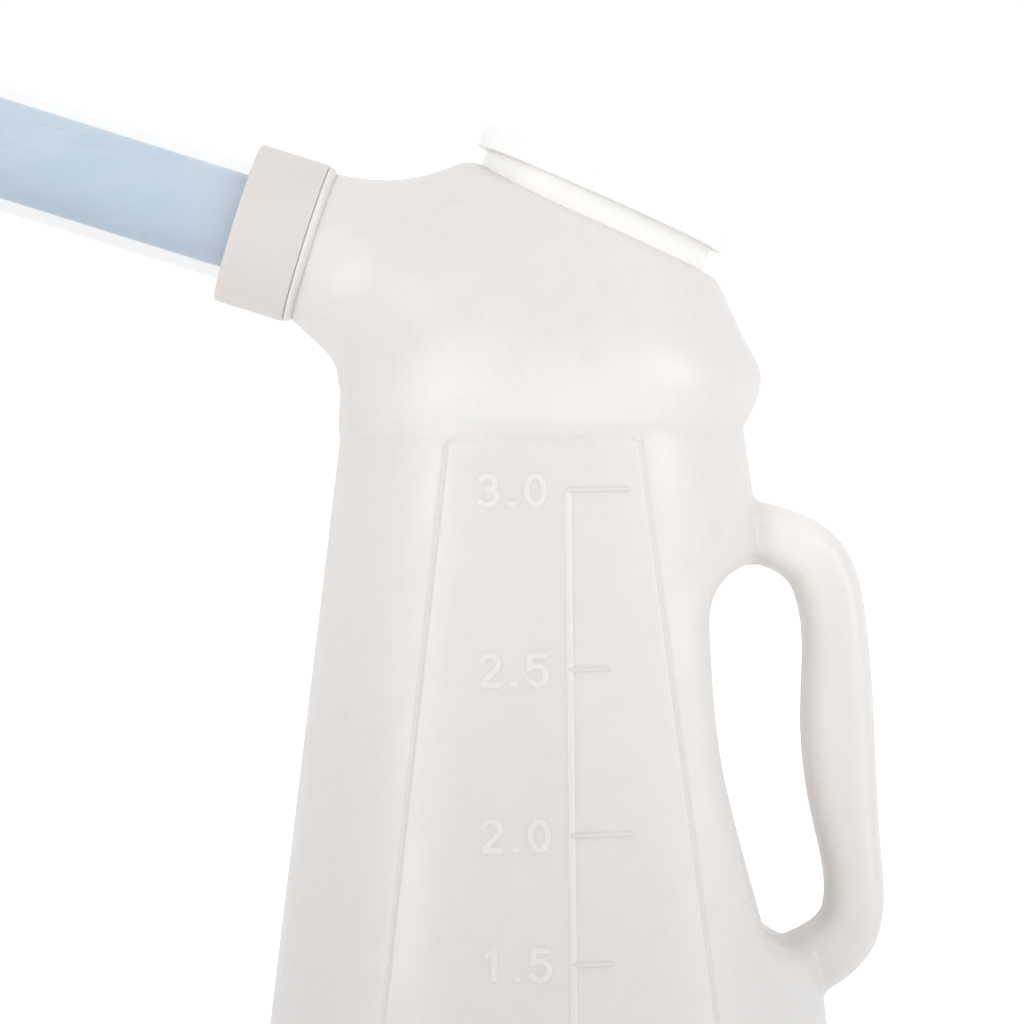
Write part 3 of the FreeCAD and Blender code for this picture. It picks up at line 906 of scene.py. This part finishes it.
def moulded(name, light, dark, rough, streak, scuffed=0.0, glow=0.0, painted_foot_shade=1.0):
    """Moulded polyethylene: clouded colour, faint flow streaks, a fine skin, a few specks and light scuffs.

    glow is how much light goes into it. The foot shade is how much of the colour is left at the jug's foot, as
    painted shade; under 1 it also brings the jug's painted light over the shoulder and inside the grip.
    """
    f = Finish(name)
    cloud = f.noise(14.0, 4.0, 0.6)
    flow = f.noise(1.0, 4.0, 0.6, f.stretched((150.0, 150.0, 9.0)), 0.2)
    fleck = f.between(f.noise(700.0, 2.0, 0.5), 0.72, 0.78)
    scratch = f.noise(1.0, 3.0, 0.7, f.stretched((260.0, 260.0, 34.0), 28.0), 1.2)
    scratch = f.between(scratch, 0.6, 0.74)
    colour = f.blend(f.between(cloud, 0.3, 0.7), light, dark)
    streaks = f.maths("MULTIPLY", f.between(flow, 0.4, 0.72), streak)
    colour = f.blend(streaks, colour, tuple(0.9 * c for c in dark))
    colour = f.blend(f.maths("MULTIPLY", fleck, 0.16), colour, FLECK)
    height = f.axis("Z")
    # Painted light and shade on the jug itself.
    if painted_foot_shade < 1:
        colour = painted_jug_light_and_shade(f, colour, height, light, painted_foot_shade)
    if scuffed:
        uneven = f.maths("ADD", height, f.maths("MULTIPLY", f.noise(90.0), 0.012))
        foot = f.between(uneven, 0.006, 0.02, 1.0, 0.0)
        worn = f.between(f.noise(170.0, 5.0, 0.7), 0.45, 0.75)
        worn = f.maths("MULTIPLY", f.maths("ADD", foot, 0.14), worn)
        colour = f.blend(f.maths("MULTIPLY", worn, scuffed), colour, SCUFF)
    uneven = f.between(f.noise(45.0, 4.0, 0.6), 0.3, 0.7, rough - 0.06, rough + 0.07)
    roughness = f.maths("ADD", uneven, f.maths("MULTIPLY", scratch, 0.12))
    f.bumps(
        (f.noise(20.0, 2.0, 0.4), 0.12), (flow, 0.012), (scratch, -0.008), (f.noise(950.0, 3.0, 0.6), 0.014),
    )
    return f.set(Base_Color=colour, Roughness=roughness, IOR=1.5, Subsurface_Weight=glow,
                 Subsurface_Radius=(1.0, 0.9, 0.8), Subsurface_Scale=0.004)


def clear_vinyl():
    """Clear vinyl: faint lines along the tube and a slight haze."""
    f = Finish("tube_clear")
    line = f.noise(1.0, 4.0, 0.65, f.stretched((14.0, 380.0, 380.0), SPOUT_TILT))
    haze = f.noise(55.0, 4.0, 0.6)
    colour = f.blend(f.between(line, 0.35, 0.7), (0.93, 0.955, 0.965), (0.84, 0.88, 0.9))
    rough = f.between(haze, 0.3, 0.7, 0.1, 0.24)
    f.bumps((f.noise(30.0, 2.0, 0.4), 0.12), (line, 0.03), (f.noise(800.0), 0.006))
    return f.set(Base_Color=colour, Roughness=rough, IOR=1.46, Alpha=0.15)


def blue_vinyl():
    """Blue vinyl: lines along the tube, broad bands, a few specks, and painted light towards the collar, where
    the collar's shade falls.
    """
    f = Finish("tube_blue")
    line = f.noise(1.0, 5.0, 0.65, f.stretched((9.0, 300.0, 300.0), SPOUT_TILT), 0.3)
    broad = f.noise(1.0, 3.0, 0.5, f.stretched((12.0, 75.0, 75.0), SPOUT_TILT))
    spot = f.between(f.noise(230.0, 2.0, 0.5), 0.73, 0.79)
    colour = f.blend(f.between(broad, 0.32, 0.68), (0.465, 0.59, 0.715), (0.42, 0.55, 0.68))
    colour = f.blend(f.maths("MULTIPLY", f.between(line, 0.5, 0.76), 0.5), colour, (0.55, 0.66, 0.77))
    # Painted light: the tube is paler near the collar, where the collar's shade falls.
    painted_collar_light = f.between(f.axis("X"), -0.106, -0.08)
    colour = f.blend(f.maths("MULTIPLY", painted_collar_light, 0.3), colour, (0.66, 0.75, 0.82))
    colour = f.blend(f.maths("MULTIPLY", spot, 0.5), colour, (0.26, 0.37, 0.48))
    f.bumps((broad, 0.05), (line, 0.03), (f.noise(700.0), 0.008))
    return f.set(Base_Color=colour, Roughness=f.between(line, 0.3, 0.7, 0.26, 0.42), IOR=1.46)


def rubber(name, light, dark):
    """Rubber: clouded colour, a dusty bloom and a fine pebbled skin."""
    f = Finish(name)
    cloud = f.noise(60.0, 5.0, 0.62)
    bloom = f.between(f.noise(110.0, 4.0, 0.6, None, 0.4), 0.45, 0.8)
    colour = f.blend(f.between(cloud, 0.3, 0.7), light, dark)
    colour = f.blend(f.maths("MULTIPLY", bloom, 0.07), colour, (0.8, 0.74, 0.68))
    rough = f.between(f.noise(240.0, 4.0), 0.3, 0.7, 0.46, 0.64)
    f.bumps((cloud, 0.03), (f.noise(1500.0, 3.0, 0.6), 0.01))
    return f.set(Base_Color=colour, Roughness=rough, IOR=1.5, Subsurface_Weight=0.12,
                 Subsurface_Radius=(1.0, 0.5, 0.3), Subsurface_Scale=0.002)


# ---- every piece ----

JUG_LIGHT = (0.745, 0.717, 0.699)
JUG_DARK = (0.732, 0.706, 0.688)
# The jug and its marks carry painted shade towards the foot and painted light over the shoulder and inside the
# grip.
JUG = moulded(
    "jug_white", JUG_LIGHT, JUG_DARK, rough=0.38, streak=0.14, scuffed=0.5, glow=0.25, painted_foot_shade=0.86,
)
# The filler neck is the jug's own plastic painted paler, a lit copy of its colour: painted light on the bright
# band under the lid.
PAINTED_LIT_NECK = moulded("neck_white_painted_light", (0.92, 0.905, 0.875), (0.905, 0.89, 0.86), rough=0.4, streak=0.1, glow=0.2)
LID = moulded("lid_white", (0.915, 0.91, 0.9), (0.9, 0.895, 0.885), rough=0.36, streak=0.1, glow=0.2)
COLLAR = moulded(
    "collar_white", (0.675, 0.64, 0.613), (0.66, 0.624, 0.597),
    rough=0.38, streak=0.12, scuffed=0.1, glow=0.15,
)
TAIL = moulded("tail_white", (0.88, 0.875, 0.855), (0.85, 0.845, 0.825), rough=0.42, streak=0.1, glow=0.2)
# A small raised part looks darker where light goes into it, so the paler ones have no glow. They keep the jug's
# painted shade at the foot and its painted light.
MARKS = moulded("mark_white", JUG_LIGHT, JUG_DARK, rough=0.38, streak=0.14, scuffed=0.5, painted_foot_shade=0.86)

make_jug(JUG)
piece("litre_scale", [bead(*stroke) for stroke in scale_strokes()], "jug", "jug_white", MARKS)
piece("litre_ticks", [bead(*stroke) for stroke in tick_strokes()], "jug", "jug_white", JUG)
piece("filler_neck", [turned(divided(rounded([
    (FILL_NECK_R - FILL_NECK_WALL, FILL_NECK_FOOT, 0.3), (FILL_NECK_R - FILL_NECK_WALL, FILL_MOUTH, 0.5),
    (FILL_NECK_R, FILL_MOUTH, 0.5), (FILL_NECK_R, -FILL_NECK_LENGTH + 0.05, 1.3),
    (FILL_NECK_R + FILL_NECK_FLARE, -FILL_NECK_LENGTH + 0.02, 0),
    (FILL_NECK_R + FILL_NECK_FLARE, -FILL_NECK_LENGTH - 0.5, 0),
    (FILL_NECK_R - 0.6, FILL_NECK_FOOT, 0.3),
]), 4.0), LID_CENTRE, LID_TILT)], "jug", "jug_white", PAINTED_LIT_NECK)
piece("spout_neck", [
    turned(divided(rounded([
        (SPOUT_BORE_R, SPOUT_NECK_FOOT, 0.2), (SPOUT_BORE_R, NECK_MOUTH, 0.4),
        (THREAD_ROOT_R, NECK_MOUTH, 0.6), (THREAD_ROOT_R, -SPOUT_GAP + 0.03, 0.5),
        (THREAD_ROOT_R + 0.8, -SPOUT_GAP + 0.01, 0),
        (THREAD_ROOT_R + 0.8, -SPOUT_GAP - 0.4, 0), (THREAD_ROOT_R - 0.4, SPOUT_NECK_FOOT, 0.2),
    ]), 3.0), COLLAR_REAR, SPOUT_LEAN),
    thread(THREAD_ROOT_R, THREAD_CREST_R, 1.6, THREAD_TURNS, COLLAR_REAR, SPOUT_LEAN),
], "jug", "jug_white", JUG)
piece("neck_rim", [turned(rounded([
    (THREAD_ROOT_R + 0.4, -SPOUT_GAP - 0.3, 0), (THREAD_ROOT_R + 0.4, -0.06, 0.1), (NECK_RIM_R, -0.06, 0.35),
    (NECK_RIM_R, -SPOUT_GAP + 0.2, 0.6), (NECK_RIM_R - 1.5, -SPOUT_GAP - 1.3, 0),
]), COLLAR_REAR, SPOUT_LEAN)], "jug", "jug_white", MARKS)

LID_DISH_Z = LID_HALF - LID_DISH
LID_SKIRT_R = FILL_NECK_R + SKIRT_GAP
LID_PLUG_BORE_R = LID_PLUG_R - LID_PLUG_WALL
piece("lid", [turned(divided(rounded([
    (0.0, LID_DISH_Z, 0), (LID_FLANGE_R - 7.0, LID_DISH_Z, 0.8), (LID_FLANGE_R - 5.0, LID_HALF, 0.8),
    (LID_FLANGE_R, LID_HALF, 1.0), (LID_FLANGE_R, -LID_HALF, 0.7), (LID_SKIRT_R, -LID_HALF, 0.4),
    (LID_SKIRT_R, LID_UNDER, 0.2), (LID_PLUG_R, LID_UNDER, 0.2), (LID_PLUG_R, LID_PLUG_FOOT + 2, 0.5),
    (LID_PLUG_R - 0.6, LID_PLUG_FOOT, 0.3), (LID_PLUG_BORE_R, LID_PLUG_FOOT, 0.4),
    (LID_PLUG_BORE_R, LID_UNDER, 0.6), (0.0, LID_UNDER, 0),
]), 4.0), LID_CENTRE, LID_TILT)], "lid", "lid_white", LID, "fill_lid")
piece("collar", [
    turned(divided(rounded([
        (COLLAR_HOLE_R, TUBE_START, 0.3), (COLLAR_BORE_R, TUBE_START, 0.4), (COLLAR_BORE_R, 0.0, 0.4),
        (COLLAR_R, 0.0, COLLAR_EDGE), (COLLAR_R, COLLAR_LENGTH, COLLAR_EDGE),
        (COLLAR_HOLE_R, COLLAR_LENGTH, 0.5),
    ]), 3.0), COLLAR_REAR, SPOUT_LEAN),
    thread(COLLAR_BORE_R, COLLAR_CREST_R, 3.6, THREAD_TURNS - 0.5, COLLAR_REAR, SPOUT_LEAN),
], "collar", "collar_white", COLLAR, "spout_collar")
piece("outer_tube", [turned(divided(rounded([
    (TUBE_BORE_R, TUBE_START, 0.2), (TUBE_BORE_R, TUBE_END, 0.3),
    (TUBE_R, TUBE_END, 0.5), (TUBE_R, TUBE_START, 0.3),
]), 6.0), COLLAR_REAR, SPOUT_LEAN)], "tube", "tube_clear", clear_vinyl(), "feeding_tube")
piece("inner_tube", [turned(divided(rounded([
    (LINING_BORE_R, TUBE_START, 0.2), (LINING_BORE_R, TUBE_END, 0.2),
    (LINING_R, TUBE_END, 0.2), (LINING_R, TUBE_START, 0.2),
]), 6.0), COLLAR_REAR, SPOUT_LEAN)], "tube", "tube_blue", blue_vinyl(), "tube_lining")

# The teat's wall, from the bead on its cuff round its tip and back down its inside.
CUFF_IN = TUBE_R + 0.05
CUFF_OUT = CUFF_IN + 3.0
FACE = TUBE_END + 0.05         # where the teat's inside steps over the tube's end
CUFF_BEAD_R = 1.35
CUFF_BEAD = [
    (CUFF_OUT + CUFF_BEAD_R * math.sin(a), TEAT_START + 2.0 - 2.0 * math.cos(a))
    for a in np.linspace(0, math.pi, 14)
]
SHANK = smooth_rows([
    (CUFF_OUT, FACE), (17.0, 136.05), (13.2, 148.05), (11.4, 164.05), (11.95, 180.0), (12.25, 188.0),
    (9.0, 195.8), (TEAT_HOLE_R + 0.4, TEAT_TIP - 0.05),
], 60)
INSIDE = smooth_rows([
    (TEAT_HOLE_R, TEAT_TIP - 3.0), (7.6, 189.0), (8.2, 162.05), (9.8, 147.05), (13.0, 136.05), (13.6, FACE),
], 40)
TEAT_WALL = [
    *CUFF_BEAD, (CUFF_OUT, TEAT_START + 6.0), *SHANK, (TEAT_HOLE_R, TEAT_TIP - 0.3), *INSIDE,
    (CUFF_IN, FACE), (CUFF_IN, TEAT_START + 0.3), (CUFF_IN + 0.3, TEAT_START),
]
piece(
    "teat", [turned(divided([np.array(corner) for corner in TEAT_WALL], 4.0), COLLAR_REAR, SPOUT_LEAN)],
    "teat", "teat_rubber", rubber("teat_rubber", (0.47, 0.17, 0.085), (0.42, 0.15, 0.075)), "calf_teat",
)

SEAL = rubber("seal_rubber", (0.36, 0.36, 0.345), (0.3, 0.3, 0.29))
for node, finish in (("lid_seal", SEAL), ("spout_seal", SEAL), ("tube_tail", TAIL)):
    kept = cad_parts[node]
    if not kept.material_slots:
        kept.data.materials.append(finish)
    for slot in kept.material_slots:
        slot.material = finish


# ---- camera, floor and light ----

EYE = Vector((-0.009, -1.4, 0.242))
AIM = Vector((-0.0085, 0.0, 0.202))
ROLL = math.radians(-0.6)
camera_data = bpy.data.cameras.new("camera")
camera_data.sensor_width = 36.0
camera_data.lens = 179.7
camera = bpy.data.objects.new("camera", camera_data)
camera.location = EYE
camera.rotation_mode = "QUATERNION"
camera.rotation_quaternion = (AIM - EYE).to_track_quat("-Z", "Y") @ Quaternion((0, 0, 1), ROLL)
bpy.context.scene.collection.objects.link(camera)
bpy.context.scene.camera = camera

# The floor has painted light: it is pale grey under the jug and turns white and glowing behind it, so it meets
# a white backdrop there.
FLOOR_HALF = 6
FLOOR_GREY_Y = 0.05
FLOOR_WHITE_Y = 0.47
FLOOR = Finish("floor")
floor_mesh = bpy.data.meshes.new("floor")
floor_corners = [(FLOOR_HALF * i, FLOOR_HALF * j, 0) for i, j in ((-1, -1), (1, -1), (1, 1), (-1, 1))]
floor_mesh.from_pydata(floor_corners, [], [(0, 1, 2, 3)])
# Painted light: paler and glowing towards +Y.
lit = FLOOR.between(FLOOR.axis("Y"), FLOOR_GREY_Y, FLOOR_WHITE_Y)
near = FLOOR.blend(FLOOR.noise(5.0), (0.7, 0.7, 0.695), (0.685, 0.685, 0.68))
floor_mesh.materials.append(FLOOR.set(
    Base_Color=FLOOR.blend(lit, near, (0.95, 0.95, 0.95)), Roughness=0.9,
    Emission_Color=(1.0, 1.0, 1.0), Emission_Strength=FLOOR.maths("MULTIPLY", lit, 0.25),
))
floor = bpy.data.objects.new("floor", floor_mesh)
bpy.context.scene.collection.objects.link(floor)
floor.visible_diffuse = False
floor.visible_glossy = False

world = bpy.data.worlds.new("studio")
bpy.context.scene.world = world
world.use_nodes = True
tree = world.node_tree
backdrop = tree.nodes["Background"]
toward = tree.nodes.new("ShaderNodeSeparateXYZ")
tree.links.new(tree.nodes.new("ShaderNodeTexCoord").outputs["Generated"], toward.inputs[0])


def graded(socket, low, high, start=-1.0, end=1.0):
    """Brightness that goes from low to high as one part of the direction goes from start to end."""
    made = tree.nodes.new("ShaderNodeMapRange")
    tree.links.new(socket, made.inputs["Value"])
    made.interpolation_type = "SMOOTHSTEP"
    for key, value in (("From Min", start), ("From Max", end), ("To Min", low), ("To Max", high)):
        made.inputs[key].default_value = value
    return made.outputs[0]


def times(a, b):
    """The product of two sockets."""
    made = tree.nodes.new("ShaderNodeMath")
    made.operation = "MULTIPLY"
    for socket, value in zip(made.inputs, (a, b)):
        tree.links.new(value, socket)
    return made.outputs[0]


# The world's light is soft. The camera sees a plain backdrop in its place, white towards +Y.
light = times(graded(toward.outputs["Z"], 1.14, 0.92), graded(toward.outputs["Y"], 1.11, 1.04))
light = times(light, graded(toward.outputs["X"], 0.96, 1.05))
soft = tree.nodes.new("ShaderNodeBackground")
tree.links.new(light, soft.inputs["Strength"])
tree.links.new(graded(toward.outputs["Y"], 0.68, 1.05, 0.78, 0.97), backdrop.inputs["Strength"])
chooser = tree.nodes.new("ShaderNodeMixShader")
tree.links.new(tree.nodes.new("ShaderNodeLightPath").outputs["Is Camera Ray"], chooser.inputs[0])
tree.links.new(soft.outputs[0], chooser.inputs[1])
tree.links.new(backdrop.outputs[0], chooser.inputs[2])
for node in (soft, backdrop):
    node.inputs["Color"].default_value = (1.0, 1.0, 1.0, 1.0)
tree.links.new(chooser.outputs[0], tree.nodes["World Output"].inputs["Surface"])


def softbox(name, place, aim, width, height, power, colour, diffuse=True):
    """A soft rectangular light. One that isn't diffuse only adds gloss."""
    data = bpy.data.lights.new(name, "AREA")
    data.shape = "RECTANGLE"
    data.size, data.size_y = width, height
    data.energy = power
    data.color = colour
    made = bpy.data.objects.new(name, data)
    made.location = place
    made.rotation_mode = "QUATERNION"
    made.rotation_quaternion = (Vector(aim) - Vector(place)).to_track_quat("-Z", "Y")
    made.visible_diffuse = diffuse
    bpy.context.scene.collection.objects.link(made)


softbox("key", (-0.35, -0.45, 0.55), (0, 0, 0.24), 0.22, 0.22, power=0.35, colour=(1.0, 0.98, 0.95))
softbox("fill", (0.45, -0.35, 0.5), (0, 0, 0.22), 0.25, 0.25, power=0.3, colour=(0.97, 0.985, 1.0))
GLOSSES = (("left_gloss", (-1.06, -0.56, 0.38), 4.5), ("right_gloss", (1.14, -0.38, 0.5), 3.6))
for name, place, power in GLOSSES:
    softbox(name, place, (0, 0, 0.2), 0.35, 0.9, power, colour=(1.0, 1.0, 1.0), diffuse=False)
bpy.context.scene.view_settings.view_transform = "Standard"
